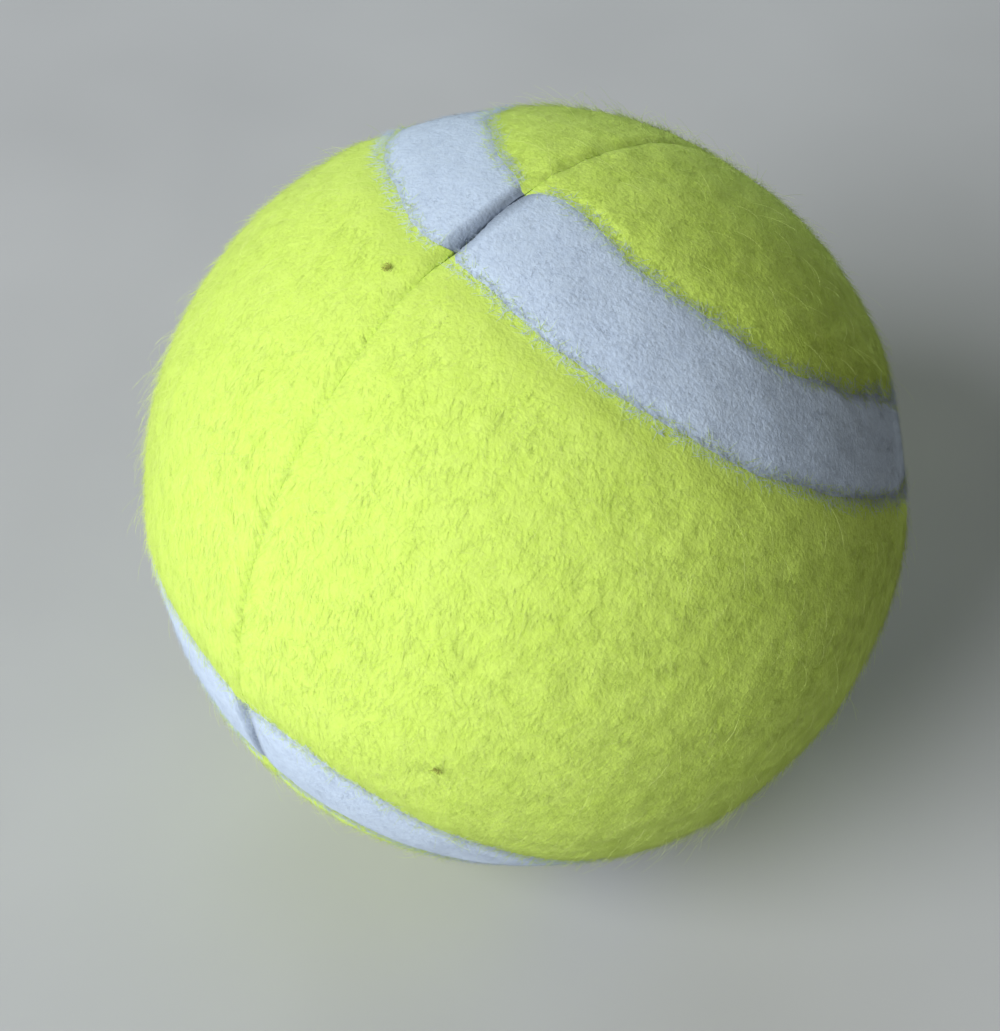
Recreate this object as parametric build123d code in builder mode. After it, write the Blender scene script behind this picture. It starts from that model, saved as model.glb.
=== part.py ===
"""Tennis ball: a rubber core in two cemented halves, a felt cover in two cemented half cups that meet
at a grooved seam, and a wide white stripe set into the felt along the ball's four-lobed curve.

Millimetres and degrees. The origin is the ball's centre and +Z is up. The cover's seam lies in the
plane X = 0, and the right half is the +X one. The core's joint lies in the plane Z = 0.
"""

import os
from math import acos, asin, degrees

from build123d import *

os.makedirs("parts", exist_ok=True)

# The ball and its layers, from the outside in
ball_diameter = 66.0
felt_thickness = 3.0
cover_cement_thickness = 0.2
core_wall = 3.6

# The core's joint: a film of cement between the two lips
core_joint_film = 0.2

# The cover's seam: two rounded felt rims with cement at the bottom of the groove
seam_gap = 0.5
seam_round = 1.0
seam_cement_height = 1.0

# The white stripe: its width, its thickness at the middle, and how far it lies below the yellow nap
stripe_width = 9.0
stripe_thickness = 1.5
stripe_recess = 0.5

# How the stripe's curve is turned against the seam, about X, then Y, then Z
stripe_turn = (55.6, 26.6, -9.9)

# How far the cutter for the stripe's channel stands out of the felt
cutter_overrun = 2.0

# Radii of the layers
ball_radius = ball_diameter / 2
felt_bore_radius = ball_radius - felt_thickness
core_radius = felt_bore_radius - cover_cement_thickness
core_bore_radius = core_radius - core_wall
seam_cement_radius = core_radius + seam_cement_height
stripe_radius = ball_radius - stripe_recess
channel_radius = stripe_radius - stripe_thickness
cutter_radius = ball_radius + cutter_overrun

# Half of each gap, so that a lip lies that far from its middle plane
seam_lip = seam_gap / 2
core_lip = core_joint_film / 2

# The stripe is four half turns, two round Y above Z = 0 and two round X below it. They join end to end,
# in line, because each goes round its own axis half way between the two.
lobe_angle = 45
upper_turns = ((180, 0, 0), (180, 0, 180))
lower_turns = ((0, 0, 90), (0, 0, -90))

# Turns that put a half cup made round +X on its side of the ball
cover_turns = {"right": (0, 0, 0), "left": (0, 0, 180)}
core_turns = {"top": (0, -90, 0), "bottom": (0, 90, 0)}


def half_cup(outer: float, inner: float, lip: float, rim_round: float = 0.0) -> Part:
    """A half shell round +X between two spheres, with a flat lip at x = lip and a rounded outer rim."""
    with BuildPart() as cup:
        with BuildSketch(Plane.XY) as section:
            with BuildLine():
                outside = CenterArc((0, 0), outer, 0, degrees(acos(lip / outer)))
                inside = CenterArc((0, 0), inner, 0, degrees(acos(lip / inner)))
                Line(outside @ 0, inside @ 0)
                Line(outside @ 1, inside @ 1)
            make_face()
            if rim_round > 0:
                fillet(section.vertices().sort_by(Axis.Y)[-1], rim_round)
        revolve(axis=Axis.X)
    return cup.part


def joint_ring(outer: float, inner: float, lip: float) -> Part:
    """A ring round X between two spheres, from x = -lip to x = lip."""
    outer_half = degrees(asin(lip / outer))
    inner_half = degrees(asin(lip / inner))
    with BuildPart() as ring:
        with BuildSketch(Plane.XY):
            with BuildLine():
                outside = CenterArc((0, 0), outer, 90 - outer_half, 2 * outer_half)
                inside = CenterArc((0, 0), inner, 90 - inner_half, 2 * inner_half)
                Line(outside @ 0, inside @ 0)
                Line(outside @ 1, inside @ 1)
            make_face()
        revolve(axis=Axis.X)
    return ring.part


def stripe_half_turn() -> Part:
    """One half turn of the stripe's channel, round +Y and below Z = 0, with a flat floor."""
    with BuildPart() as half_turn:
        with BuildSketch(Plane.XY):
            with PolarLocations((channel_radius + cutter_radius) / 2, 1, lobe_angle):
                Rectangle(cutter_radius - channel_radius, stripe_width)
        revolve(axis=Axis.Y, revolution_arc=180)
    return half_turn.part


# The cutter for the channel that the stripe fills, one closed loop
with BuildPart() as stripe_cutter:
    for turn in upper_turns + lower_turns:
        add(stripe_half_turn(), rotation=turn)

# The core: two moulded rubber half shells and the cement between their lips
for level, turn in core_turns.items():
    with BuildPart() as core_half:
        add(half_cup(core_radius, core_bore_radius, core_lip), rotation=turn)
    core_half.part.label = f"core_{level}_half"
    export_step(core_half.part, f"parts/core_{level}_half.step")

with BuildPart() as core_joint_cement:
    add(joint_ring(core_radius, core_bore_radius, core_lip), rotation=core_turns["top"])
core_joint_cement.part.label = "core_joint_cement"
export_step(core_joint_cement.part, "parts/core_joint_cement.step")

# The cover: on each side a coat of cement, a felt half cup with the stripe's channel, and the stripe
for side, turn in cover_turns.items():
    with BuildPart() as cover_cement:
        add(half_cup(felt_bore_radius, core_radius, seam_lip), rotation=turn)
    cover_cement.part.label = f"cover_cement_{side}"
    export_step(cover_cement.part, f"parts/cover_cement_{side}.step")

    with BuildPart() as felt_cover:
        add(half_cup(ball_radius, felt_bore_radius, seam_lip, seam_round), rotation=turn)
        add(stripe_cutter.part, rotation=stripe_turn, mode=Mode.SUBTRACT)
    felt_cover.part.label = f"felt_cover_{side}"
    export_step(felt_cover.part, f"parts/felt_cover_{side}.step")

    with BuildPart() as white_stripe:
        add(half_cup(stripe_radius, felt_bore_radius, seam_lip, seam_round), rotation=turn)
        add(stripe_cutter.part, rotation=stripe_turn, mode=Mode.INTERSECT)
    white_stripe.part.label = f"white_stripe_{side}"
    export_step(white_stripe.part, f"parts/white_stripe_{side}.step")

# The cement in the groove between the two felt rims, seated on the core
with BuildPart() as cover_seam_cement:
    add(joint_ring(seam_cement_radius, core_radius, seam_lip))
cover_seam_cement.part.label = "cover_seam_cement"
export_step(cover_seam_cement.part, "parts/cover_seam_cement.step")
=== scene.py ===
"""Looks for a tennis ball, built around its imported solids.

Two yellow felt half cups meet at a grooved seam, a white felt stripe lies in its channel along the ball's
four-lobed curve, and the nap of both felts is made of real fibres. Metres, in the part's own frame: the
ball's centre is the origin, +Z is up, and the seam lies in the plane X = 0.
"""

import logging
import math
from dataclasses import dataclass, field, replace
from enum import Enum

import bmesh
import bpy
import numpy as np
from mathutils import Euler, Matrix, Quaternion, Vector
from mathutils.kdtree import KDTree


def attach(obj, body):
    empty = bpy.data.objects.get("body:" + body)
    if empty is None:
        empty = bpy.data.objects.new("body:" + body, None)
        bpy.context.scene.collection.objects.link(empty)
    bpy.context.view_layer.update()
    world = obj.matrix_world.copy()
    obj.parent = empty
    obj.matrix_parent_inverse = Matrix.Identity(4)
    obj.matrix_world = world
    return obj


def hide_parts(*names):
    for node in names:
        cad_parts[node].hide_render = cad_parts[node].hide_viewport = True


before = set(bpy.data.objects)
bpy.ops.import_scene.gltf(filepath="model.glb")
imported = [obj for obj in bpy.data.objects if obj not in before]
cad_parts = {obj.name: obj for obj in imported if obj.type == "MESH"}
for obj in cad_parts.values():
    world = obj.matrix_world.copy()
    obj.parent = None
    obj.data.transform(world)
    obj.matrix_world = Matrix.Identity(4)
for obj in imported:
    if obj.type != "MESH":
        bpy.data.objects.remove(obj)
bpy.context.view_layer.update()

MM = 0.001
BALL_RADIUS = 33.0 * MM
BODY = "root"
NAP_MAP = "OFBake"
NO_TINT = (1.0, 1.0, 1.0)

Colour = tuple[float, float, float]
Place = tuple[float, float, float]
Array = np.ndarray
Piece = bpy.types.Object
Material = bpy.types.Material
Socket = bpy.types.NodeSocket

log = logging.getLogger("tennis_ball")


class Side(Enum):
    """The two halves of the cover, by the sign of X."""

    RIGHT = 1
    LEFT = -1

    @property
    def word(self) -> str:
        """The side's name as the pieces spell it."""
        return self.name.lower()


class Slot(Enum):
    """The record's material slots for the cover's two felts."""

    YELLOW = "yellow_felt"
    WHITE = "white_felt"


def unit(vectors: Array) -> Array:
    """Vectors, one in each row, scaled to a length of one."""
    return vectors / np.maximum(np.linalg.norm(vectors, axis=1, keepdims=True), 1e-12)


def bell(distance: Array, reach: float) -> Array:
    """A smooth share for each distance: one at zero, and next to nothing past twice the reach."""
    return np.exp(-((distance / reach) ** 2))


def start_clean() -> None:
    """Leaves edit mode and deselects everything, so that an operator acts on new work alone."""
    if bpy.context.object and bpy.context.object.mode != "OBJECT":
        bpy.ops.object.mode_set(mode="OBJECT")
    bpy.ops.object.select_all(action="DESELECT")


def mount(piece: Piece, slot: Slot, material: Material, *nodes: str) -> None:
    """Dresses a finished piece and sets it on the ball.

    Args:
        piece: the finished mesh, in place.
        slot: the record's slot for the piece's finish; not used.
        material: what it wears.
        nodes: the CAD nodes that it stands for.
    """
    piece.data.materials.clear()
    piece.data.materials.append(material)
    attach(piece, BODY)
    if nodes:
        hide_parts(*nodes)
    log.info("%s: %d faces", piece.name, len(piece.data.polygons))


@dataclass(frozen=True)
class Ripple:
    """A smooth random field: waves of about one length, in random directions."""

    length: float
    seed: int
    waves: int = 40
    spread: tuple[float, float] = (0.7, 1.6)

    def at(self, points: Array) -> Array:
        """The field at each point, mostly between -1 and 1.

        Args:
            points: places in metres, one in each row.

        Returns:
            One value for each point.
        """
        rng = np.random.default_rng(self.seed)
        ways = unit(rng.normal(size=(self.waves, 3)))
        steps = 2 * math.pi / (self.length * rng.uniform(*self.spread, (self.waves, 1)))
        starts = rng.uniform(0, 2 * math.pi, self.waves)
        return np.cos(points @ (ways * steps).T + starts).sum(1) / math.sqrt(self.waves)


@dataclass(frozen=True)
class Nudge:
    """A place on the ball where the stripe was laid a little wide, or narrow below zero. Millimetres."""

    place: Place
    shift: float
    reach: float

    def at(self, points: Array) -> Array:
        """How far the nudge moves the edge at each point."""
        away = np.linalg.norm(points - np.array(self.place) * MM, axis=1)
        return self.shift * MM * bell(away, self.reach * MM)


@dataclass(frozen=True)
class StripeCurve:
    """The line that the stripe follows, in a frame of its own that is turned against the seam: four half
    turns, two round Y above Z = 0 and two round X below it."""

    ball_radius: float = BALL_RADIUS
    width: float = 9.0 * MM
    lobe_angle: float = math.radians(45)
    turn: Place = (55.6, 26.6, -9.9)
    long_wave: Ripple = Ripple(8 * MM, 11)
    short_wave: Ripple = Ripple(2.4 * MM, 12)
    long_swing: float = 0.20 * MM
    short_swing: float = 0.05 * MM
    wave_reach: float = 2.6 * MM
    corner_pinch: float = 0.9 * MM
    corner_reach: float = 1.0 * MM
    settling: int = 16
    nudges: tuple[Nudge, ...] = (
        Nudge((5.7, 2.7, 32.4), 1.7, 4.0),
        Nudge((15.0, 3.0, 29.2), 0.5, 4.0),
        Nudge((10.1, 1.3, 30.5), 0.4, 4.0),
        Nudge((18.7, 5.5, 26.7), 0.3, 5.0),
        Nudge((22.1, 6.7, 23.5), -0.8, 4.5),
        Nudge((24.1, 13.6, 18.0), -0.2, 5.0),
        Nudge((20.3, 22.0, 12.0), -2.4, 5.0),
        Nudge((25.1, 19.6, 4.7), 1.2, 4.0),
        Nudge((2.2, 1.5, 32.9), 0.6, 2.0),
        Nudge((23.8, -2.8, 22.7), 0.6, 4.0),
        Nudge((-5.5, -6.7, 31.8), 0.5, 3.5),
        Nudge((-0.2, -33.0, -1.3), -1.1, 2.2),
        Nudge((6.6, -32.3, 0.1), 0.6, 3.0),
        Nudge((-4.5, -31.3, -8.0), 1.5, 6.0),
        Nudge((4.5, -30.4, -10.8), 1.5, 6.0),
        Nudge((12.0, -26.0, -15.0), 1.2, 6.0),
    )

    @property
    def half_angle(self) -> float:
        """Half of the stripe's width, as an angle at the ball's centre."""
        return math.asin(self.width / 2 / self.ball_radius)

    @property
    def axes(self) -> Array:
        """The curve's own axes, as columns in the part's frame."""
        return np.array(Euler([math.radians(angle) for angle in self.turn], "ZYX").to_matrix())

    def lobes(self) -> list[tuple[Array, int]]:
        """The axis of each half turn, with the side of the curve's own Z = 0 that it lies on."""
        x, y, _ = self.axes.T
        return [(y, 1), (-y, 1), (x, -1), (-x, -1)]

    def side_angle(self, points: Array) -> Array:
        """How far round from the stripe's middle line each point lies.

        Args:
            points: places on or near the ball.

        Returns:
            Signed angles at the ball's centre.
        """
        x, y, z = (unit(points) @ self.axes).T
        above = np.arccos(np.clip(np.abs(y), 0, 1)) - self.lobe_angle
        below = self.lobe_angle - np.arccos(np.clip(np.abs(x), 0, 1))
        return np.where(z >= 0, above, below)

    def level(self, points: Array) -> Array:
        """Each point's height over the plane where the half turns join."""
        return points @ self.axes[:, 2]

    def from_edge(self, points: Array) -> Array:
        """How far outside the stripe's even edge each point lies, and below zero inside it."""
        return (np.abs(self.side_angle(points)) - self.half_angle) * self.ball_radius

    def outward(self, points: Array) -> Array:
        """The way along the ball that leads straight out of the stripe.

        Args:
            points: places on or near the ball.

        Returns:
            One unit vector for each point, square to the ball's radius there.
        """
        local = unit(points) @ self.axes
        above = local[:, 2] >= 0
        axis = np.zeros_like(local)
        axis[above, 1] = np.sign(local[above, 1])
        axis[~above, 0] = np.sign(local[~above, 0])
        away = unit((axis * local).sum(1, keepdims=True) * local - axis)
        turned = np.sign(self.side_angle(points)) * np.where(above, 1.0, -1.0)
        return (away * turned[:, None]) @ self.axes.T

    def slide(self, points: Array, distance: Array) -> Array:
        """The ways from the ball's centre to points that were moved straight out of the stripe."""
        along = (distance / self.ball_radius)[:, None]
        return unit(points) * np.cos(along) + self.outward(points) * np.sin(along)

    def foot(self, points: Array) -> Array:
        """The place on the stripe's even edge that lies nearest to each point."""
        return self.slide(points, -self.from_edge(points)) * self.ball_radius

    def swing(self, points: Array) -> Array:
        """How far the worn edge swings out of the even one.

        Args:
            points: places on or near the ball.

        Returns:
            For each point, the swing of the edge that it is nearest to.
        """
        foot = self.foot(points)
        wave = self.long_swing * self.long_wave.at(foot) + self.short_swing * self.short_wave.at(foot)
        pinch = self.corner_pinch * bell(foot[:, 0], self.corner_reach)
        return wave - pinch + sum(nudge.at(foot) for nudge in self.nudges)

    def from_worn_edge(self, points: Array) -> Array:
        """How far outside the stripe's worn edge each point lies, and below zero inside it.

        Args:
            points: places on or near the ball.

        Returns:
            A distance for each point, as it was before the edge was moved.
        """
        edge = self.from_edge(points)
        swing = self.swing(points)
        even = edge
        for _ in range(self.settling):
            even = edge - swing * bell(even, self.wave_reach)
        return even

    def worn(self, points: Array) -> Array:
        """Points near the stripe's edges, moved along the ball by the edges' swing."""
        moved = self.slide(points, self.swing(points) * bell(self.from_edge(points), self.wave_reach))
        return moved * np.linalg.norm(points, axis=1, keepdims=True)


@dataclass(frozen=True)
class Seam:
    """The groove between the two felt rims: shut in the yellow felt, open where it cuts the stripe."""

    lip: float = 0.25 * MM
    slit: float = 0.005 * MM
    shut_reach: float = 0.8 * MM
    yellow_depth: float = 0.26 * MM
    yellow_reach: float = 0.7 * MM
    yellow_gape: float = 1.6
    yellow_spread: float = 0.6 * MM
    white_depth: float = 1.0 * MM
    shallow: float = 0.45
    white_reach: float = 0.3 * MM
    least_reach: float = 0.2 * MM
    roundness: float = 0.25
    steepness: float = 1.1
    uneven: float = 0.10 * MM
    wave: Ripple = Ripple(9 * MM, 21)
    gapes: tuple[Place, ...] = ((0.2, -6.0, 32.4), (0.0, -33.0, -3.0))
    gape_reach: float = 4.9 * MM
    gape_left: float = 1.15 * MM
    gape_right: float = 0.1 * MM

    def gape(self, points: Array) -> Array:
        """How far the rims stand apart.

        Args:
            points: places on or near the ball.

        Returns:
            For each point, one in the middle of a gape and zero where the rims are pressed shut.
        """
        away = [np.linalg.norm(points - np.array(gape) * MM, axis=1) for gape in self.gapes]
        share = np.clip(1 - np.min(away, axis=0) / self.gape_reach, 0, 1)
        return share**2 * (3 - 2 * share)

    def drop(self, points: Array, white: bool) -> Array:
        """How far a worn rim lies below the felt's level.

        Args:
            points: places on or near the ball.
            white: whether the rim is the stripe's.

        Returns:
            A depth for each point, zero away from the seam.
        """
        gape = self.gape(points)
        beyond = np.abs(points[:, 0]) - self.lip
        ripple = self.uneven * self.wave.at(points)
        if not white:
            depth = self.yellow_depth * (1 + self.yellow_gape * gape)
            return self.groove(beyond, depth, self.yellow_reach + self.yellow_spread * gape + ripple)
        wide = np.where(points[:, 0] < 0, self.gape_left, self.gape_right)
        depth = self.white_depth * (self.shallow + (1 - self.shallow) * gape)
        level = self.groove(beyond, self.yellow_depth, self.yellow_reach + ripple)
        return np.maximum(self.groove(beyond, depth, self.white_reach + ripple + gape * wide), level)

    def groove(self, beyond: Array, depth: Array | float, reach: Array) -> Array:
        """A rim's rounded fall to the seam.

        Args:
            beyond: distances from the rim's lip.
            depth: how deep the rim falls.
            reach: how far from the lip the fall starts.

        Returns:
            A depth for each distance.
        """
        short = np.clip(1 - beyond / np.maximum(reach, self.least_reach), 0, 1)
        arc = 1 - np.sqrt(1 - short**2)
        return depth * (self.roundness * arc + (1 - self.roundness) * short**self.steepness)

    def pull(self, points: Array) -> Array:
        """How far each place moves to the seam's plane, where the rims are pressed together."""
        beyond = np.maximum(np.abs(points[:, 0]) - self.lip, 0)
        return (self.lip - self.slit) * (1 - self.gape(points)) * bell(beyond, self.shut_reach)


class MeshBench:
    """One new mesh under edit-mode work, with its faces picked in code."""

    sharp: float = 0.01 * MM
    crease: float = math.radians(50)

    def __init__(self, name: str, radius: float, divisions: int) -> None:
        """Starts from a ball of small triangles.

        Args:
            name: the piece's name.
            radius: the ball's radius.
            divisions: how often the ball's faces are divided.
        """
        start_clean()
        bpy.ops.mesh.primitive_ico_sphere_add(subdivisions=divisions, radius=radius)
        self.piece = bpy.context.object
        self.piece.name = name
        self.piece.data.name = name
        self.edit()

    def edit(self) -> None:
        """Goes into edit mode, set to faces."""
        bpy.ops.object.mode_set(mode="EDIT")
        bpy.ops.mesh.select_mode(type="FACE")

    def leave(self) -> None:
        """Goes back to object mode."""
        bpy.ops.object.mode_set(mode="OBJECT")

    def middles(self) -> Array:
        """The middle of every face."""
        bm = bmesh.from_edit_mesh(self.piece.data)
        return np.array([face.calc_center_median() for face in bm.faces])

    def pick(self, chosen: Array) -> None:
        """Selects the marked faces and nothing else.

        Args:
            chosen: one mark for each face.
        """
        bpy.ops.mesh.select_all(action="DESELECT")
        bm = bmesh.from_edit_mesh(self.piece.data)
        bm.faces.ensure_lookup_table()
        for index in np.flatnonzero(chosen):
            bm.faces[index].select_set(True)
        bmesh.update_edit_mesh(self.piece.data)

    def drop(self, chosen: Array) -> None:
        """Deletes the marked faces."""
        self.pick(chosen)
        bpy.ops.mesh.delete(type="FACE")

    def keep_beyond(self, side: Side, lip: float) -> None:
        """Cuts the ball at the seam's lip and keeps one side.

        Args:
            side: the half that stays.
            lip: the cut's distance from the seam's plane.
        """
        bpy.ops.mesh.select_all(action="SELECT")
        bpy.ops.mesh.bisect(
            plane_co=(side.value * lip, 0, 0),
            plane_no=(side.value, 0, 0),
            clear_inner=True,
            threshold=self.sharp,
        )

    def cut_stripe_edges(self, curve: StripeCurve, radius: float, reach: float) -> None:
        """Cuts the faces along both edges of the stripe, one half turn after another.

        Args:
            curve: the stripe's line.
            radius: the radius that the faces lie at.
            reach: how far from the edges faces may be cut.
        """
        middles = self.middles()
        self.pick((np.abs(curve.level(middles)) < reach) & (curve.from_edge(middles) < reach))
        bpy.ops.mesh.bisect(plane_co=(0, 0, 0), plane_no=tuple(curve.axes[:, 2]), threshold=self.sharp)
        for axis, above in curve.lobes():
            for angle in (curve.lobe_angle - curve.half_angle, curve.lobe_angle + curve.half_angle):
                middles = self.middles()
                near = np.abs(unit(middles) @ axis - math.cos(angle)) * radius < reach
                self.pick(near & (curve.level(middles) * above > 0))
                place = axis * radius * math.cos(angle)
                bpy.ops.mesh.bisect(plane_co=tuple(place), plane_no=tuple(axis), threshold=self.sharp)

    def divide(self) -> None:
        """Divides the selected faces once, into triangles."""
        bpy.ops.mesh.subdivide(number_cuts=1)
        self.triangulate()

    def triangulate(self) -> None:
        """Turns every face into triangles."""
        bpy.ops.mesh.select_all(action="SELECT")
        bpy.ops.mesh.quads_convert_to_tris()

    def scale(self, share: float) -> None:
        """Scales what is selected about the ball's centre."""
        bpy.ops.transform.resize(value=(share, share, share), center_override=(0, 0, 0))

    def points(self) -> Array:
        """Reads every vertex of the piece, in object mode.

        Returns:
            One place in each row.
        """
        flat = np.empty(len(self.piece.data.vertices) * 3)
        self.piece.data.vertices.foreach_get("co", flat)
        return flat.reshape(-1, 3)

    def shape(self, points: Array) -> None:
        """Moves every vertex of the piece, in object mode."""
        self.piece.data.vertices.foreach_set("co", points.ravel())
        self.piece.data.update()

    def finish(self) -> None:
        """Turns the faces outwards, reports edges that don't join two of them, and leaves edit mode."""
        self.triangulate()
        bpy.ops.mesh.normals_make_consistent(inside=False)
        bm = bmesh.from_edit_mesh(self.piece.data)
        loose = sum(not edge.is_manifold for edge in bm.edges)
        log.info("%s: %d open edges", self.piece.name, loose)
        self.leave()

    def smooth(self) -> None:
        """Shades the piece smooth, apart from its creases."""
        bpy.ops.object.shade_smooth_by_angle(angle=self.crease)


class NodeBench:
    """A material's nodes, added and joined one at a time."""

    layering: float = 0.6

    def __init__(self, name: str) -> None:
        """Makes an empty material with one shader.

        Args:
            name: the material's name.
        """
        self.material = bpy.data.materials.new(name)
        self.material.use_nodes = True
        self.tree = self.material.node_tree
        self.tree.nodes.clear()
        output = self.add("ShaderNodeOutputMaterial")
        self.shader = self.add("ShaderNodeBsdfPrincipled")
        self.put(output, Surface=self.shader.outputs["BSDF"])

    def add(self, kind: str, **values: object) -> bpy.types.Node:
        """Adds a node of a kind and fills it in."""
        return self.put(self.tree.nodes.new(kind), **values)

    def put(self, node: bpy.types.Node, **values: object) -> bpy.types.Node:
        """Fills a node in.

        Args:
            node: the node.
            values: its own settings by name, or its inputs by name, with _ for a space. An input takes a
                constant, or the socket that it is joined to.

        Returns:
            The same node.
        """
        for name, value in values.items():
            if hasattr(node, name):
                setattr(node, name, value)
                continue
            end = node.inputs[name.replace("_", " ")]
            if isinstance(value, Socket):
                self.tree.links.new(value, end)
            else:
                end.default_value = value
        return node

    def place(self) -> Socket:
        """The place on the piece, in metres."""
        return self.add("ShaderNodeTexCoord").outputs["Object"]

    def split(self, vector: Socket) -> bpy.types.NodeOutputs:
        """A vector's parts, by name."""
        return self.add("ShaderNodeSeparateXYZ", Vector=vector).outputs

    def across(self, place: Socket, reach: float) -> Socket:
        """How far a place lies from the seam's plane on either side, from 0 to 1 at the reach."""
        size = self.add("ShaderNodeMath", operation="ABSOLUTE", Value=self.split(place)["X"])
        return self.add("ShaderNodeMapRange", Value=size.outputs[0], From_Max=reach).outputs["Result"]

    def noise(self, place: Socket, size: float, detail: float) -> Socket:
        """A noise from 0 to 1 with features of about one size, in metres, and some finer layers."""
        look = {"Scale": 1 / size, "Detail": detail, "Roughness": self.layering}
        return self.add("ShaderNodeTexNoise", Vector=place, **look).outputs["Fac"]

    def ramp(self, value: Socket, *stops: tuple[float, Colour]) -> Socket:
        """Colours for a value.

        Args:
            value: what picks the colour.
            stops: places along the ramp, each with its colour.

        Returns:
            The colour.
        """
        node = self.add("ShaderNodeValToRGB", Fac=value)
        elements = node.color_ramp.elements
        while len(elements) < len(stops):
            elements.new(0.5)
        for element, (place, colour) in zip(elements, stops):
            element.position = place
            element.color = (*colour, 1)
        return node.outputs["Color"]

    def blend(self, share: float, first: Socket, second: Socket, way: str = "MIX") -> Socket:
        """Two colours in one, with a share of the second."""
        node = self.add("ShaderNodeMix", data_type="RGBA", blend_type=way)
        return self.put(node, Factor=share, A=first, B=second).outputs["Result"]

    def spread(self, value: Socket, low: float, high: float) -> Socket:
        """A value from 0 to 1, spread between two others."""
        return self.add("ShaderNodeMapRange", Value=value, To_Min=low, To_Max=high).outputs["Result"]

    def bump(self, height: Socket, depth: float, strength: float) -> None:
        """Raises the surface by a pattern, so deep in metres and so strongly."""
        node = self.add("ShaderNodeBump", Height=height, Strength=strength, Distance=depth)
        self.put(self.shader, Normal=node.outputs["Normal"])


@dataclass(frozen=True)
class FeltFinish:
    """Matted felt below the nap: clumps, pits and soft changes of tone, with painted shade in pits and at
    the seam.
    """

    name: str
    # dark tone at random in the clumps, and painted shade in the pits
    deep: Colour
    body: Colour
    pale: Colour
    sheen_tint: Colour
    clump: float = 1.6 * MM
    pit: float = 0.35 * MM
    cloud: float = 9.0 * MM
    pit_depth: float = 0.12 * MM
    pit_share: float = 0.45
    cloud_share: float = 0.3
    sheen: float = 0.15
    # Painted shade: the tint that darkens the felt towards the seam's groove, and how far it reaches.
    grime: Colour = NO_TINT
    grime_reach: float = 1.3 * MM

    def material(self) -> Material:
        """Builds the felt's material.

        Returns:
            The material, with its nodes joined.
        """
        bench = NodeBench(self.name)
        place = bench.place()
        clumps = bench.noise(place, self.clump, 4.0)
        pits = bench.noise(place, self.pit, 2.0)
        clouds = bench.noise(place, self.cloud, 2.0)
        coarse = bench.ramp(clumps, (0.30, self.deep), (0.50, self.body), (0.72, self.pale))
        # The pits' noise also drives the bump, so this paints shade into the felt's hollows, and paler
        # tone onto its raised grain.
        fine = bench.ramp(pits, (0.32, self.deep), (0.50, self.body), (0.75, self.pale))
        wide = bench.ramp(clouds, (0.35, self.body), (0.70, self.pale))
        colour = bench.blend(self.cloud_share, bench.blend(self.pit_share, coarse, fine), wide)
        # Painted shade: the felt darkens towards the seam's groove.
        near = bench.ramp(bench.across(place, self.grime_reach), (0.25, self.grime), (1.0, NO_TINT))
        bench.bump(pits, self.pit_depth, 0.7)
        bench.put(
            bench.shader,
            Base_Color=bench.blend(1.0, colour, near, "MULTIPLY"),
            Roughness=bench.spread(pits, 0.98, 0.84),
            Sheen_Weight=self.sheen,
            Sheen_Roughness=0.5,
            Sheen_Tint=(*self.sheen_tint, 1),
            Specular_IOR_Level=0.15,
        )
        return bench.material


@dataclass(frozen=True)
class FibreFinish:
    """Single fibres: the map's U is a fibre's own tone, and its V runs from the root to the tip."""

    name: str
    dark: Colour
    middle: Colour
    light: Colour
    soiled: Colour
    root_shade: Colour
    roughness: float = 0.8

    def material(self) -> Material:
        """Builds the fibres' material.

        Returns:
            The material, with its nodes joined.
        """
        bench = NodeBench(self.name)
        chart = bench.split(bench.add("ShaderNodeUVMap", uv_map=NAP_MAP).outputs["UV"])
        tone = bench.ramp(
            chart["X"],
            (0.0, self.soiled),
            (0.06, self.soiled),
            (0.12, self.dark),
            (0.50, self.middle),
            (1.0, self.light),
        )
        shade = bench.ramp(chart["Y"], (0.0, self.root_shade), (0.7, NO_TINT))
        colour = bench.blend(1.0, tone, shade, "MULTIPLY")
        bench.put(bench.shader, Base_Color=colour, Roughness=self.roughness, Specular_IOR_Level=0.25)
        return bench.material


@dataclass(frozen=True)
class RubberFinish:
    """Moulded rubber or dried cement: a mottled, slightly grainy skin."""

    name: str
    dark: Colour
    light: Colour
    grain: float
    depth: float
    smooth: float
    rough: float
    cloud_grains: float = 12.0
    fine_share: float = 0.4

    def material(self) -> Material:
        """Builds the rubber's material.

        Returns:
            The material, with its nodes joined.
        """
        bench = NodeBench(self.name)
        place = bench.place()
        grain = bench.noise(place, self.grain, 4.0)
        clouds = bench.noise(place, self.cloud_grains * self.grain, 3.0)
        wide = bench.ramp(clouds, (0.3, self.dark), (0.7, self.light))
        fine = bench.ramp(grain, (0.3, self.dark), (0.7, self.light))
        rough = bench.spread(grain, self.smooth, self.rough)
        bench.bump(grain, self.depth, 0.5)
        bench.put(bench.shader, Base_Color=bench.blend(self.fine_share, wide, fine), Roughness=rough)
        return bench.material


@dataclass(frozen=True)
class FloorFinish:
    """A plain pale table top."""

    name: str = "pale_floor"
    colour: Colour = (0.56, 0.56, 0.57)
    shade: Colour = (0.52, 0.52, 0.53)
    cloud: float = 40 * MM

    def material(self) -> Material:
        """Builds the floor's material.

        Returns:
            The material, with its nodes joined.
        """
        bench = NodeBench(self.name)
        clouds = bench.noise(bench.place(), self.cloud, 2.0)
        colour = bench.ramp(clouds, (0.3, self.shade), (0.7, self.colour))
        bench.put(bench.shader, Base_Color=colour, Roughness=0.7, Specular_IOR_Level=0.2)
        return bench.material


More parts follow.
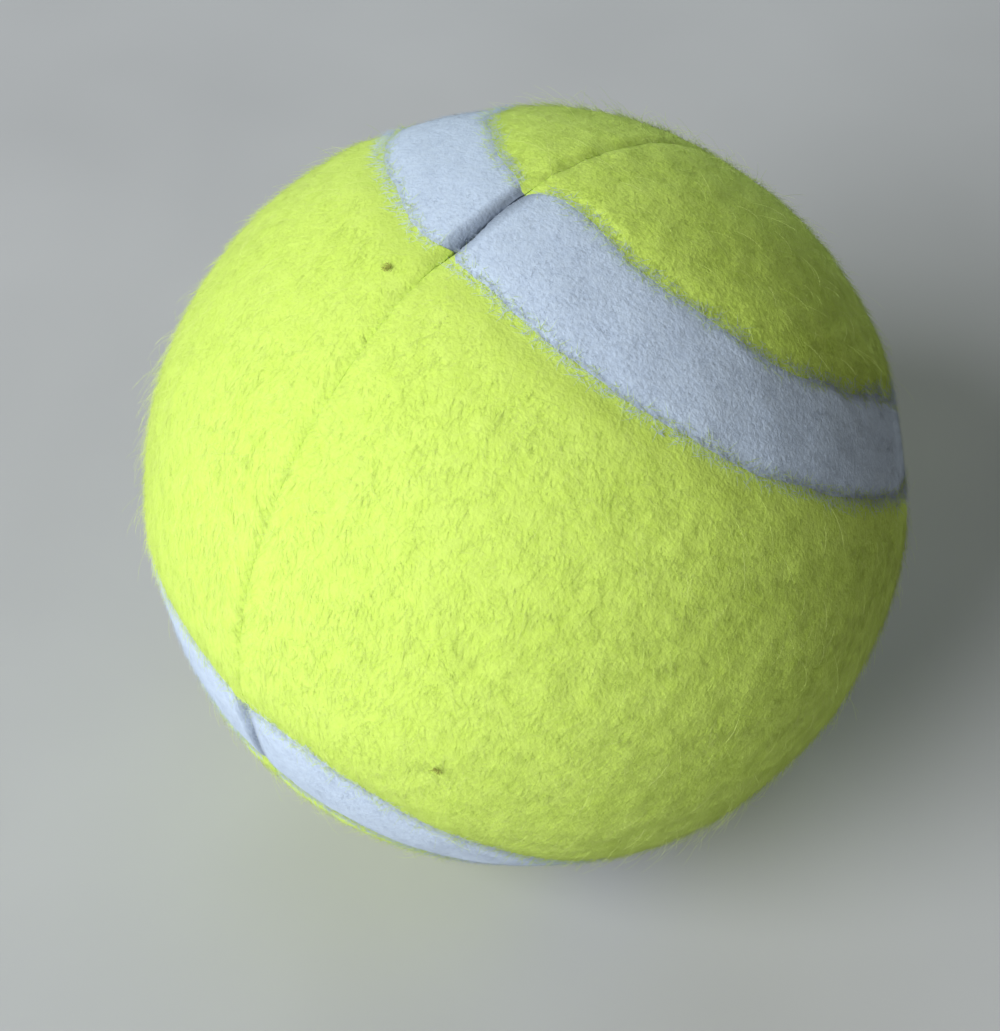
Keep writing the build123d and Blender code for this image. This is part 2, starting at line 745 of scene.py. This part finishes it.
YELLOW_FELT = FeltFinish(
    name="yellow_felt",
    deep=(0.66, 0.89, 0.12),
    body=(0.71, 0.93, 0.16),
    pale=(0.75, 0.96, 0.20),
    sheen_tint=(0.85, 1.0, 0.35),
)
WHITE_FELT = FeltFinish(
    name="white_felt",
    deep=(0.55, 0.66, 0.84),
    body=(0.64, 0.76, 0.94),
    pale=(0.70, 0.82, 0.97),
    sheen_tint=(0.9, 0.95, 1.0),
    clump=0.9 * MM,
    # painted shade on the stripe's felt at the seam's groove
    grime=(0.42, 0.43, 0.45),
)
YELLOW_FIBRE = FibreFinish(
    name="yellow_fibre",
    dark=(0.62, 0.85, 0.10),
    middle=(0.73, 0.94, 0.18),
    light=(0.86, 0.98, 0.36),
    soiled=(0.36, 0.38, 0.07),
    root_shade=(0.96, 0.97, 0.92),
)
WHITE_FIBRE = FibreFinish(
    name="white_fibre",
    dark=(0.52, 0.63, 0.80),
    middle=(0.66, 0.78, 0.95),
    light=(0.78, 0.87, 0.98),
    soiled=(0.30, 0.28, 0.26),
    root_shade=(0.92, 0.92, 0.94),
)
CORE_RUBBER = RubberFinish(
    "core_rubber", (0.030, 0.030, 0.032), (0.060, 0.060, 0.062), 0.4 * MM, 0.05 * MM, 0.55, 0.8
)
JOINT_CEMENT = RubberFinish(
    "joint_cement", (0.10, 0.09, 0.07), (0.16, 0.145, 0.11), 0.5 * MM, 0.04 * MM, 0.4, 0.65
)
COVER_CEMENT = RubberFinish(
    "cover_cement", (0.42, 0.38, 0.26), (0.55, 0.50, 0.36), 0.7 * MM, 0.05 * MM, 0.35, 0.6
)
SEAM_CEMENT = RubberFinish(
    "seam_cement", (0.075, 0.075, 0.078), (0.13, 0.13, 0.135), 0.5 * MM, 0.08 * MM, 0.6, 0.85
)


@dataclass
class FeltPiece:
    """A felt piece on one half of the ball, with the uneven skin that its nap stands on."""

    side: Side
    curve: StripeCurve
    seam: Seam
    white: bool = False
    top_radius: float = BALL_RADIUS
    nap_depth: float = 0.56 * MM
    edge_drop: float = 0.37 * MM
    edge_reach: float = 1.8 * MM
    fine_reach: float = 1.6 * MM
    cut_reach: float = 0.9 * MM
    lip_slack: float = 0.02 * MM
    divisions: int = 7
    swell: Ripple = Ripple(11 * MM, 31)
    lump: Ripple = Ripple(2.6 * MM, 32)
    swell_height: float = 0.07 * MM
    lump_height: float = 0.05 * MM

    @property
    def skin(self) -> float:
        """The even radius of the matted felt below the nap."""
        return self.top_radius - self.nap_depth

    def near_edge(self, edge: Array) -> Array:
        """How much the felt is rounded at each distance from the stripe's edge."""
        return bell(np.maximum(edge, 0), self.edge_reach)

    def radius_at(self, points: Array) -> Array:
        """The radius of the felt's skin below the nap.

        Args:
            points: places on or near the ball.

        Returns:
            One radius for each point.
        """
        uneven = self.swell_height * self.swell.at(points) + self.lump_height * self.lump.at(points)
        near = self.near_edge(self.curve.from_worn_edge(points))
        level = self.skin + uneven * (1 - near) - self.edge_drop * near
        return level - self.seam.drop(points, self.white)

    def at_lip(self, points: Array) -> Array:
        """Which points lie on the cut at the seam."""
        return np.abs(points[:, 0]) < self.seam.lip + self.lip_slack

    def wear(self, bench: MeshBench, floor: float) -> None:
        """Wears the stripe's edges, rounds the rim, makes the skin uneven and presses the rims shut.

        Args:
            bench: the piece under work, in object mode.
            floor: the radius that the skin lies above.
        """
        points = bench.points()
        radius = np.linalg.norm(points, axis=1)
        outer = radius > floor
        worn = self.curve.worn(points)
        shaped = unit(worn) * np.where(outer, self.radius_at(worn), radius)[:, None]
        at_lip = self.at_lip(points)
        shaped[at_lip, 0] = points[at_lip, 0]
        shaped[:, 0] -= self.side.value * np.where(outer, self.seam.pull(points), 0)
        bench.shape(shaped)


@dataclass
class FeltCup(FeltPiece):
    """One yellow half cup of felt, with the stripe's channel in it."""

    bore_radius: float = 30.0 * MM
    channel_radius: float = 31.0 * MM
    end_slack: float = 0.05 * MM
    end_tilt: float = 0.3
    bore_slack: float = 0.1 * MM
    bore_share: float = 0.12
    least_edge: float = 0.001 * MM

    def build(self) -> Piece:
        """Models the cup: skin, channel, rim and bore in one closed shell.

        Returns:
            The finished piece.
        """
        bench = MeshBench(f"felt_{self.side.word}", self.skin, self.divisions)
        bench.keep_beyond(self.side, self.seam.lip)
        bench.cut_stripe_edges(self.curve, self.skin, self.cut_reach)
        middles = bench.middles()
        edge = self.curve.from_edge(middles)
        by_rim = np.abs(middles[:, 0]) < self.seam.lip + self.fine_reach
        bench.pick(((edge > 0) & (edge < self.fine_reach)) | by_rim)
        bench.divide()
        self._sink_channel(bench)
        bench.leave()
        self.wear(bench, (self.channel_radius + self.skin) / 2)
        self._close(bench)
        return bench.piece

    def _sink_channel(self, bench: MeshBench) -> None:
        """Pushes the stripe's faces in to the channel's floor, with walls, and opens its ends.

        Args:
            bench: the cup under work, in edit mode.
        """
        bench.pick(self.curve.from_edge(bench.middles()) < 0)
        bpy.ops.mesh.extrude_region()
        bench.scale(self.channel_radius / self.skin)
        bm = bmesh.from_edit_mesh(bench.piece.data)
        upright = np.array([np.linalg.norm(face.normal.yz) < self.end_tilt for face in bm.faces])
        at_lip = np.abs(bench.middles()[:, 0] - self.side.value * self.seam.lip) < self.end_slack
        bench.drop(upright & at_lip)

    def _close(self, bench: MeshBench) -> None:
        """Extrudes the whole skin inward to the bore, with the rim between the two.

        Args:
            bench: the cup under work, in object mode.
        """
        bench.edit()
        bpy.ops.mesh.select_all(action="SELECT")
        bpy.ops.mesh.extrude_region()
        bench.leave()
        points = bench.points()
        inner = np.empty(len(points), dtype=bool)
        bench.piece.data.vertices.foreach_get("select", inner)
        bore = unit(points) * self.bore_radius
        bore[self.at_lip(points), 0] = self.side.value * self.seam.lip
        bench.shape(np.where(inner[:, None], bore, points))
        bench.edit()
        bpy.ops.mesh.dissolve_degenerate(threshold=self.least_edge)
        bench.pick(np.linalg.norm(bench.middles(), axis=1) < self.bore_radius + self.bore_slack)
        bpy.ops.mesh.decimate(ratio=self.bore_share)
        bench.finish()
        bench.smooth()


@dataclass
class StripeBand(FeltPiece):
    """The white felt stripe in one half cup, a closed band that lies in its channel."""

    white: bool = True
    top_radius: float = 32.5 * MM
    nap_depth: float = 0.32 * MM
    edge_drop: float = 0.14 * MM
    edge_reach: float = 0.5 * MM
    fine_reach: float = 2.2 * MM
    swell: Ripple = Ripple(5 * MM, 41)
    lump: Ripple = Ripple(1.8 * MM, 42)
    swell_height: float = 0.04 * MM
    lump_height: float = 0.02 * MM
    thickness: float = 1.5 * MM
    tuck: float = 0.2 * MM
    spare: float = 1.6 * MM
    fine_edge: float = 1.2 * MM

    def near_edge(self, edge: Array) -> Array:
        """How much the felt is rounded at each distance from the stripe's edge."""
        return np.exp(np.minimum(edge, 0) / self.edge_reach)

    def build(self) -> Piece:
        """Models the band: cut out of a ball along its edges and given its thickness.

        Returns:
            The finished piece.
        """
        wide = replace(self.curve, width=self.curve.width + 2 * self.tuck)
        bench = MeshBench(f"stripe_{self.side.word}", self.skin, self.divisions)
        bench.keep_beyond(self.side, self.seam.lip)
        bench.drop(wide.from_edge(bench.middles()) > self.spare)
        bench.cut_stripe_edges(wide, self.skin, self.cut_reach)
        bench.drop(wide.from_edge(bench.middles()) > 0)
        middles = bench.middles()
        by_rim = np.abs(middles[:, 0]) < self.seam.lip + self.fine_reach
        bench.pick(by_rim | (self.curve.from_edge(middles) > -self.fine_edge))
        bench.divide()
        bpy.ops.mesh.select_all(action="SELECT")
        bpy.ops.mesh.extrude_region()
        bench.scale((self.top_radius - self.thickness) / self.skin)
        bench.finish()
        self.wear(bench, self.skin - self.thickness / 2)
        bench.smooth()
        return bench.piece


@dataclass(frozen=True)
class Strand:
    """One fibre, modelled once and copied: a three-sided spike with rings cut into it."""

    rings: int
    taper: float = 0.45

    def model(self) -> tuple[Array, Array]:
        """Models the spike and reads it back.

        Returns:
            Its points, with Z from 0 at the root to 1 at the tip and sides one away from the middle, and
            its triangles.
        """
        start_clean()
        bpy.ops.mesh.primitive_cone_add(vertices=3, radius1=1, radius2=0, depth=1, location=(0, 0, 0.5))
        spike = bpy.context.object
        bpy.ops.object.transform_apply(location=True)
        bpy.ops.object.mode_set(mode="EDIT")
        for height in np.linspace(0, 1, self.rings + 2)[1:-1]:
            bpy.ops.mesh.select_all(action="SELECT")
            bpy.ops.mesh.bisect(plane_co=(0, 0, height), plane_no=(0, 0, 1))
        bpy.ops.mesh.select_all(action="SELECT")
        bpy.ops.mesh.quads_convert_to_tris()
        bpy.ops.mesh.normals_make_consistent(inside=False)
        bpy.ops.object.mode_set(mode="OBJECT")
        points = np.array([vertex.co for vertex in spike.data.vertices])
        triangles = np.array([side.vertices for side in spike.data.polygons])
        bpy.data.objects.remove(spike)
        across = np.linalg.norm(points[:, :2], axis=1, keepdims=True)
        points[:, :2] = np.where(across > 1e-6, points[:, :2] / np.maximum(across, 1e-6), 0)
        return points, triangles


@dataclass
class Fibres:
    """Many fibres in one growth: where each is rooted and how it lies."""

    roots: Array
    ways: Array
    lengths: Array
    lifts: Array
    bends: Array
    gathers: Array
    widths: Array
    tones: Array

    def part(self, chosen: Array) -> "Fibres":
        """Some of the fibres."""
        return Fibres(**{name: values[chosen] for name, values in vars(self).items()})

    def path(self, share: float) -> Array:
        """Where each fibre is, a share of the way from its root to its tip.

        Args:
            share: from 0 at the root to 1 at the tip.

        Returns:
            One place for each fibre.
        """
        up = unit(self.roots)
        along = self.lengths * share
        sag = along**2 / (2 * np.linalg.norm(self.roots, axis=1))
        height = self.lengths * (np.sin(self.lifts) * share - self.bends * share**2) - sag
        straight = self.roots + self.ways * along[:, None] + up * height[:, None]
        return straight + self.gathers * share**2

    def grow(self, name: str, strand: Strand, softness: float) -> Piece:
        """Copies a strand along every fibre, in one mesh.

        Args:
            name: the piece's name.
            strand: the fibre's model.
            softness: how far its shading follows the ball instead of the single fibre.

        Returns:
            The finished piece.
        """
        model, triangles = strand.model()
        count = len(self.roots)
        up = unit(self.roots)
        aside = np.cross(up, self.ways)
        points = np.empty((count, len(model), 3))
        normals = np.empty_like(points)
        for index, (x, y, share) in enumerate(model):
            width = (self.widths * (1 - strand.taper * share))[:, None]
            out = aside * x + up * y
            points[:, index] = self.path(share) + out * width
            normals[:, index] = unit(softness * up + (1 - softness) * out)
        corners = (triangles[None] + np.arange(count)[:, None, None] * len(model)).ravel()
        mesh = bpy.data.meshes.new(name)
        mesh.vertices.add(count * len(model))
        mesh.vertices.foreach_set("co", points.ravel())
        mesh.loops.add(len(corners))
        mesh.loops.foreach_set("vertex_index", corners.astype(np.int32))
        mesh.polygons.add(len(corners) // 3)
        mesh.polygons.foreach_set("loop_start", np.arange(0, len(corners), 3, dtype=np.int32))
        mesh.update(calc_edges=True)
        mesh.shade_smooth()
        mesh.normals_split_custom_set_from_vertices(normals.reshape(-1, 3))
        self._chart(mesh, model, corners)
        piece = bpy.data.objects.new(name, mesh)
        bpy.context.scene.collection.objects.link(piece)
        return piece

    def _chart(self, mesh: bpy.types.Mesh, model: Array, corners: Array) -> None:
        """Gives each fibre a narrow strip of the map at its own tone, from root to tip.

        Args:
            mesh: the fibres' mesh.
            model: the points of one fibre.
            corners: the point at each corner of the mesh's faces.
        """
        strip, margin, skew = 0.006, 0.02, 0.015
        turn = np.arctan2(model[:, 1], model[:, 0]) / math.pi
        across = self.tones[:, None] * (1 - 2 * strip) + strip * (1 + turn[None])
        along = np.clip(model[:, 2] * (1 - 2 * margin) + margin + skew * turn, 0.001, 0.999)
        chart = np.stack([across, np.broadcast_to(along, across.shape)], axis=2).reshape(-1, 2)
        layer = mesh.uv_layers.new(name=NAP_MAP)
        layer.data.foreach_set("uv", chart[corners].astype(np.float32).ravel())


@dataclass(frozen=True)
class Tuft:
    """A spot with fibres of its own. Millimetres."""

    place: Place
    count: int
    spread: float


@dataclass(frozen=True)
class Nap:
    """The nap of one felt: where its fibres stand, how they are combed and how they clump."""

    name: str
    count: int
    length: tuple[float, float]
    width: tuple[float, float]
    lift: tuple[float, float]
    seed: int
    loose: float
    overhang: float
    pieces: int = 1
    inside: bool = False
    bend: float = 0.0
    clump_gap: float = 0.25
    clump_pull: float = 0.0
    seam_lean: float = 0.0
    seam_reach: float = 1.3 * MM
    seam_gap: float = 0.03 * MM
    seam_clear: float = 0.6 * MM
    # Painted shade: how much the fibres darken at the seam's groove, and over what reach.
    seam_grime: float = 0.0
    grime_reach: float = 0.9 * MM
    lift_range: tuple[float, float] = (0.1, 1.4)
    bend_spread: tuple[float, float] = (0.6, 1.2)
    overhang_spread: tuple[float, float] = (0.15, 1.0)
    least_left: float = 0.2
    edge_lean: float = 0.0
    edge_reach: float = 0.9 * MM
    edge_cut: float = 0.0
    cut_reach: float = 1.6 * MM
    rim_length: float = 0.35
    edge_band: float = 0.0
    band_fall: float = 1.5
    edge_over: float = 0.0
    tone: float = 0.55
    tone_spread: float = 0.06
    least_tone: float = 0.14
    soiled_tone: float = 0.03
    comb: Place = (0.123, -0.790, -0.597)
    sway: Ripple = Ripple(14 * MM, 51)
    sway_turn: float = 0.18
    swirl: Ripple = Ripple(3.5 * MM, 52)
    swirl_turn: float = 0.12
    streak: Ripple = Ripple(0.9 * MM, 53)
    streak_stretch: float = 0.86
    streak_limit: float = 1.5
    streak_rise: float = 0.04
    streak_tone: float = 0.07
    cloud: Ripple = Ripple(6 * MM, 54)
    cloud_tone: float = 0.05
    tufts: tuple[Tuft, ...] = ()
    soiled: bool = False
    softness: float = 0.9
    root_depth: float = 0.12 * MM
    strand: Strand = Strand(0)

    @property
    def sign(self) -> int:
        """The way from the stripe's edge to the nap: -1 into the stripe, 1 out of it."""
        return -1 if self.inside else 1

    def combed(self, places: Array, edge: Array, out: Array, rng: np.random.Generator) -> Array:
        """The way that the nap is combed at each place, leaning over the seam and the stripe's edge.

        Args:
            places: unit vectors from the ball's centre.
            edge: how far each place lies from the stripe's edge.
            out: the way over that edge.
            rng: where the looseness comes from.

        Returns:
            Unit vectors along the ball.
        """
        comb = np.array(self.comb)
        flat = unit(comb - (places @ comb)[:, None] * places)
        at = places * BALL_RADIUS
        turn = self.sway_turn * self.sway.at(at) + self.swirl_turn * self.swirl.at(at)
        turn += self.loose * rng.normal(size=len(places))
        ways = flat * np.cos(turn)[:, None] + np.cross(places, flat) * np.sin(turn)[:, None]
        ways[:, 0] -= self.seam_lean * bell(at[:, 0], self.seam_reach) * np.sign(at[:, 0])
        ways += out * (self.edge_lean * bell(edge, self.edge_reach))[:, None]
        return unit(ways - (ways * places).sum(1, keepdims=True) * places)

    def scatter(self, side: Side, rng: np.random.Generator) -> Array:
        """Where fibres might stand on one half: evenly all over it, and in the tufts.

        Args:
            side: the half.
            rng: where the places come from.

        Returns:
            Unit vectors from the ball's centre.
        """
        even = unit(rng.normal(size=(self.count, 3)))
        even[:, 0] = np.abs(even[:, 0]) * side.value
        spots = [even]
        for tuft in self.tufts:
            spots.append(unit(np.array(tuft.place) + rng.normal(size=(tuft.count, 3)) * tuft.spread))
        places = np.concatenate(spots)
        return places[places[:, 0] * side.value > 0]

    def plant(self, felt: FeltPiece) -> Fibres:
        """Plants the fibres of one half of the ball.

        Args:
            felt: the piece that they stand on.

        Returns:
            The fibres, from root to tip.
        """
        curve, seam = felt.curve, felt.seam
        rng = np.random.default_rng(self.seed + felt.side.value)
        places = self.scatter(felt.side, rng)
        at = places * BALL_RADIUS
        edge = curve.from_worn_edge(at) * self.sign
        across = np.abs(at[:, 0])
        kept = (edge > -self.edge_over) & (across > seam.lip - seam.pull(at) + self.seam_gap)
        if self.edge_band > 0:
            kept &= edge < self.edge_band * rng.uniform(size=len(edge)) ** self.band_fall
            kept &= across > seam.lip + self.seam_clear
        places, at, edge, across = places[kept], at[kept], edge[kept], across[kept]
        many = len(places)
        streak = self._streaks(at)
        short = 1 - self.edge_cut * bell(edge, self.cut_reach)
        if self.inside:
            short *= np.clip(self.rim_length + (across - seam.lip) / self.cut_reach, self.rim_length, 1)
        fibres = Fibres(
            roots=places * (felt.radius_at(at) - self.root_depth * short)[:, None],
            ways=self.combed(places, edge, -self.sign * curve.outward(at), rng),
            lengths=rng.uniform(*self.length, many) * (1 + self.streak_rise * streak) * short,
            lifts=np.clip(rng.normal(*self.lift, many), *self.lift_range),
            bends=rng.uniform(*self.bend_spread, many) * self.bend,
            gathers=np.zeros((many, 3)),
            widths=rng.uniform(*self.width, many),
            tones=self._tones(at, streak, rng),
        )
        if self.clump_pull > 0:
            self._gather(fibres, rng)
        self._trim(fibres, curve, rng)
        return fibres

    def _streaks(self, at: Array) -> Array:
        """A field of soft streaks that run the way the nap is combed.

        Args:
            at: places on the ball.

        Returns:
            One value for each place.
        """
        comb = np.array(self.comb) / np.linalg.norm(self.comb)
        drawn = at - self.streak_stretch * (at @ comb)[:, None] * comb
        return np.clip(self.streak.at(drawn), -self.streak_limit, self.streak_limit)

    def _tones(self, at: Array, streak: Array, rng: np.random.Generator) -> Array:
        """Each fibre's tone on the map: soft streaks and clouds, painted shade at the seam, and soiled
        fibres at its start.

        Args:
            at: where the fibres are rooted.
            streak: how pale the streaks are there.
            rng: where single fibres get their own tone.

        Returns:
            Places along the map, from 0 to 1.
        """
        if self.soiled:
            return np.full(len(at), self.soiled_tone)
        soft = self.streak_tone * streak + self.cloud_tone * self.cloud.at(at)
        # Painted shade: the fibres darken towards the seam's groove.
        grime = self.seam_grime * bell(at[:, 0], self.grime_reach)
        tones = self.tone + soft - grime + self.tone_spread * rng.normal(size=len(at))
        return np.clip(tones, self.least_tone, 1)

    def _gather(self, fibres: Fibres, rng: np.random.Generator) -> None:
        """Draws the tips of neighbouring fibres together into small tufts.

        Args:
            fibres: what was planted.
            rng: which fibres the tufts stand round.
        """
        reach = fibres.path(1.0)
        tufts = rng.permutation(len(reach))[: int(len(reach) * self.clump_gap)]
        tree = KDTree(len(tufts))
        for index, tuft in enumerate(tufts):
            tree.insert(Vector(fibres.roots[tuft]), index)
        tree.balance()
        nearest = tufts[[tree.find(Vector(root))[1] for root in fibres.roots]]
        fibres.gathers = (reach[nearest] - reach) * self.clump_pull

    def _trim(self, fibres: Fibres, curve: StripeCurve, rng: np.random.Generator) -> None:
        """Shortens the fibres that would lie too far across the stripe's edge, each by its own measure.

        Args:
            fibres: what was planted.
            curve: the stripe's line.
            rng: how far over the edge each may lie.
        """
        root = self.sign * curve.from_worn_edge(fibres.roots)
        allowed = self.overhang * rng.uniform(*self.overhang_spread, len(root))
        over = -self.sign * curve.from_worn_edge(fibres.path(1.0)) - allowed
        lost = np.maximum(over, 0) / np.maximum(root + allowed + over, 1e-6)
        share = np.clip(1 - lost, self.least_left, 1)
        fibres.lengths *= share
        fibres.gathers *= share[:, None]

    def grow(self, felt: FeltPiece) -> list[Piece]:
        """Plants and grows the fibres, split into sectors round the ball.

        Args:
            felt: the piece that they stand on.

        Returns:
            The finished pieces.
        """
        fibres = self.plant(felt)
        order = np.argsort(np.arctan2(fibres.roots[:, 2], fibres.roots[:, 1]))
        made: list[Piece] = []
        for number, chosen in enumerate(np.array_split(order, self.pieces), 1):
            name = f"{self.name}_{felt.side.word}" + (f"_{number}" if self.pieces > 1 else "")
            made.append(fibres.part(chosen).grow(name, self.strand, self.softness))
        return made


DOWN = Nap(
    name="down",
    count=77_000,
    length=(0.7 * MM, 1.3 * MM),
    width=(0.013 * MM, 0.020 * MM),
    lift=(0.40, 0.22),
    seed=100,
    loose=0.7,
    overhang=0.4 * MM,
    pieces=2,
    seam_lean=1.6,
    edge_lean=0.8,
    edge_cut=0.55,
    tone=0.66,
    root_depth=0.20 * MM,
)
LONG_NAP = Nap(
    name="nap",
    count=44_000,
    length=(1.3 * MM, 2.6 * MM),
    width=(0.011 * MM, 0.018 * MM),
    lift=(0.28, 0.10),
    seed=200,
    loose=0.36,
    overhang=0.6 * MM,
    pieces=3,
    bend=0.12,
    clump_pull=0.05,
    seam_lean=1.4,
    edge_lean=0.6,
    edge_cut=0.6,
    tone=0.46,
    root_depth=0.22 * MM,
    strand=Strand(1),
)
FUZZ = Nap(
    name="fuzz",
    count=8_000,
    length=(0.9 * MM, 1.9 * MM),
    width=(0.006 * MM, 0.010 * MM),
    lift=(0.85, 0.25),
    seed=600,
    loose=1.2,
    overhang=0.6 * MM,
    bend=0.25,
    edge_cut=0.5,
    tone=0.70,
    softness=0.6,
    strand=Strand(1),
)
STRAY_HAIR = Nap(
    name="stray_hair",
    count=1_000,
    length=(1.8 * MM, 3.8 * MM),
    width=(0.007 * MM, 0.011 * MM),
    lift=(0.75, 0.25),
    seed=300,
    loose=0.9,
    overhang=1.5 * MM,
    bend=0.40,
    tone=0.85,
    tufts=(
        Tuft((-5.9, 20.1, 25.5), 120, 4.0),
        Tuft((4.0, 22.0, 24.0), 80, 4.0),
        Tuft((-23.4, -21.0, 10.0), 90, 4.0),
        Tuft((28.8, -6.3, -14.8), 70, 2.5),
    ),
    softness=0.15,
    strand=Strand(5),
)
SOIL = Nap(
    name="soil",
    count=0,
    length=(0.25 * MM, 0.5 * MM),
    width=(0.020 * MM, 0.032 * MM),
    lift=(0.25, 0.10),
    seed=500,
    loose=1.5,
    overhang=0.2 * MM,
    tufts=(Tuft((-2.7, -11.2, 30.9), 45, 0.17), Tuft((17.6, -27.7, 3.2), 45, 0.17)),
    soiled=True,
    root_depth=-0.25 * MM,
)
EDGE_FUZZ = Nap(
    name="edge_fuzz",
    count=150_000,
    length=(0.5 * MM, 1.2 * MM),
    width=(0.014 * MM, 0.022 * MM),
    lift=(0.40, 0.20),
    seed=800,
    loose=1.6,
    overhang=2.0 * MM,
    inside=True,
    edge_band=1.0 * MM,
    tone=0.60,
    root_depth=-0.05 * MM,
)
STRIPE_NAP = Nap(
    name="stripe_nap",
    count=122_000,
    length=(0.5 * MM, 1.1 * MM),
    width=(0.012 * MM, 0.019 * MM),
    lift=(0.30, 0.12),
    seed=400,
    loose=0.9,
    overhang=0.5 * MM,
    inside=True,
    edge_lean=0.5,
    streak_tone=0.05,
    tone_spread=0.13,
    least_tone=0.10,
    # painted shade on the stripe's fibres at the seam's groove
    seam_grime=0.45,
)
STRIPE_FUZZ = Nap(
    name="stripe_fuzz",
    count=210_000,
    length=(0.5 * MM, 1.1 * MM),
    width=(0.014 * MM, 0.022 * MM),
    lift=(0.35, 0.20),
    seed=700,
    loose=1.6,
    overhang=2.0 * MM,
    edge_band=1.2 * MM,
    edge_over=0.35 * MM,
    tone=0.60,
    root_depth=-0.12 * MM,
)


@dataclass
class Cover:
    """The ball's whole cover: both felt cups, both stripes and their nap."""

    curve: StripeCurve = StripeCurve()
    seam: Seam = Seam()
    blank: tuple[float, float] = (92 * MM, 92 * MM)
    blank_area: float = math.pi * (46 * MM) ** 2
    strip_width: float = 10 * MM
    strip_lengths: dict[Side, float] = field(
        default_factory=lambda: {Side.RIGHT: 165 * MM, Side.LEFT: 122 * MM}
    )
    naps: dict[Slot, tuple[Nap, ...]] = field(
        default_factory=lambda: {
            Slot.YELLOW: (DOWN, LONG_NAP, FUZZ, STRAY_HAIR, SOIL, EDGE_FUZZ),
            Slot.WHITE: (STRIPE_NAP, STRIPE_FUZZ),
        }
    )

    def build(self) -> None:
        """Builds both sides and sets every piece on the ball."""
        yellow = YELLOW_FELT.material()
        white = WHITE_FELT.material()
        fibre = {Slot.YELLOW: YELLOW_FIBRE.material(), Slot.WHITE: WHITE_FIBRE.material()}
        for side in Side:
            cup = FeltCup(side, self.curve, self.seam)
            band = StripeBand(side, self.curve, self.seam)
            felt = cup.build()
            stripe = band.build()
            mount(felt, Slot.YELLOW, yellow, f"felt_cover_{side.word}")
            mount(stripe, Slot.WHITE, white, f"white_stripe_{side.word}")
            nap: dict[Slot, list[Piece]] = {}
            for slot, kinds in self.naps.items():
                nap[slot] = [piece for kind in kinds for piece in kind.grow(band if kind.inside else cup)]
                for piece in nap[slot]:
                    mount(piece, slot, fibre[slot])


@dataclass
class InnerBall:
    """The rubber core and the cement, which keep their CAD shapes."""

    finishes: dict[RubberFinish, tuple[str, ...]] = field(
        default_factory=lambda: {
            CORE_RUBBER: ("core_top_half", "core_bottom_half"),
            JOINT_CEMENT: ("core_joint_cement",),
            COVER_CEMENT: ("cover_cement_right", "cover_cement_left"),
            SEAM_CEMENT: ("cover_seam_cement",),
        }
    )

    def dress(self) -> None:
        """Gives each node its material."""
        for finish, nodes in self.finishes.items():
            material = finish.material()
            for name in nodes:
                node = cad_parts[name]
                node.data.materials.clear()
                node.data.materials.append(material)
                log.info("%s: dressed as %s", name, finish.name)


@dataclass(frozen=True)
class Lamp:
    """One soft studio lamp."""

    name: str
    place: Place
    size: float
    power: float
    colour: Colour

    def light(self) -> None:
        """Sets the lamp up, turned to the ball."""
        data = bpy.data.lights.new(self.name, "AREA")
        data.shape = "DISK"
        data.size = self.size
        data.energy = self.power
        data.color = self.colour
        lamp = bpy.data.objects.new(self.name, data)
        lamp.location = self.place
        lamp.rotation_euler = (-Vector(self.place)).to_track_quat("-Z", "Y").to_euler()
        bpy.context.scene.collection.objects.link(lamp)


@dataclass(frozen=True)
class Studio:
    """A pale table top, soft lamps and a camera at the photograph's angle."""

    floor_level: float = -BALL_RADIUS
    floor_width: float = 3.0
    azimuth: float = 45.42
    elevation: float = 47.11
    roll: float = -1.68
    distance: float = 181.5 * MM
    nearest: float = 1 * MM
    focal_pixels: float = 2098.4
    picture_height: float = 1031.0
    right_of_middle: float = 26.0
    above_middle: float = 28.5
    sensor: float = 36.0
    sky: Colour = (1.0, 0.95, 0.80)
    sky_strength: float = 0.095
    lamps: tuple[Lamp, ...] = (
        Lamp("key_lamp", (-0.050, -0.559, 0.418), 0.50, 5.45, (0.94, 0.97, 1.0)),
        Lamp("back_lamp", (-0.46, 0.48, 0.21), 0.45, 1.9, (0.82, 0.96, 1.0)),
    )

    def build(self) -> None:
        """Sets the stage."""
        start_clean()
        bpy.ops.mesh.primitive_plane_add(size=self.floor_width, location=(0, 0, self.floor_level))
        floor = bpy.context.object
        floor.name = "floor"
        floor.data.materials.append(FloorFinish().material())
        for lamp in self.lamps:
            lamp.light()
        world = bpy.data.worlds.new("sky")
        world.use_nodes = True
        sky = world.node_tree.nodes["Background"]
        sky.inputs["Color"].default_value = (*self.sky, 1)
        sky.inputs["Strength"].default_value = self.sky_strength
        bpy.context.scene.world = world
        bpy.context.scene.view_settings.view_transform = "Standard"
        self._camera()

    def _camera(self) -> None:
        """Stands the camera where the photograph was taken from."""
        turn = math.radians(self.azimuth)
        rise = math.radians(self.elevation)
        out = math.cos(rise)
        back = Vector((math.sin(turn) * out, -math.cos(turn) * out, math.sin(rise)))
        data = bpy.data.cameras.new("camera")
        data.sensor_width = self.sensor
        data.lens = self.focal_pixels / self.picture_height * self.sensor
        data.shift_x = -self.right_of_middle / self.picture_height
        data.shift_y = -self.above_middle / self.picture_height
        data.clip_start = self.nearest
        camera = bpy.data.objects.new("camera", data)
        camera.location = back * self.distance
        level = (-back).to_track_quat("-Z", "Y")
        camera.rotation_euler = (level @ Quaternion((0, 0, 1), math.radians(self.roll))).to_euler()
        bpy.context.scene.collection.objects.link(camera)
        bpy.context.scene.camera = camera


def main() -> None:
    """Builds the ball from the outside in, then its studio."""
    logging.basicConfig(level=logging.INFO, format="%(name)s: %(message)s")
    Cover().build()
    InnerBall().dress()
    Studio().build()


if __name__ == "__main__":
    main()
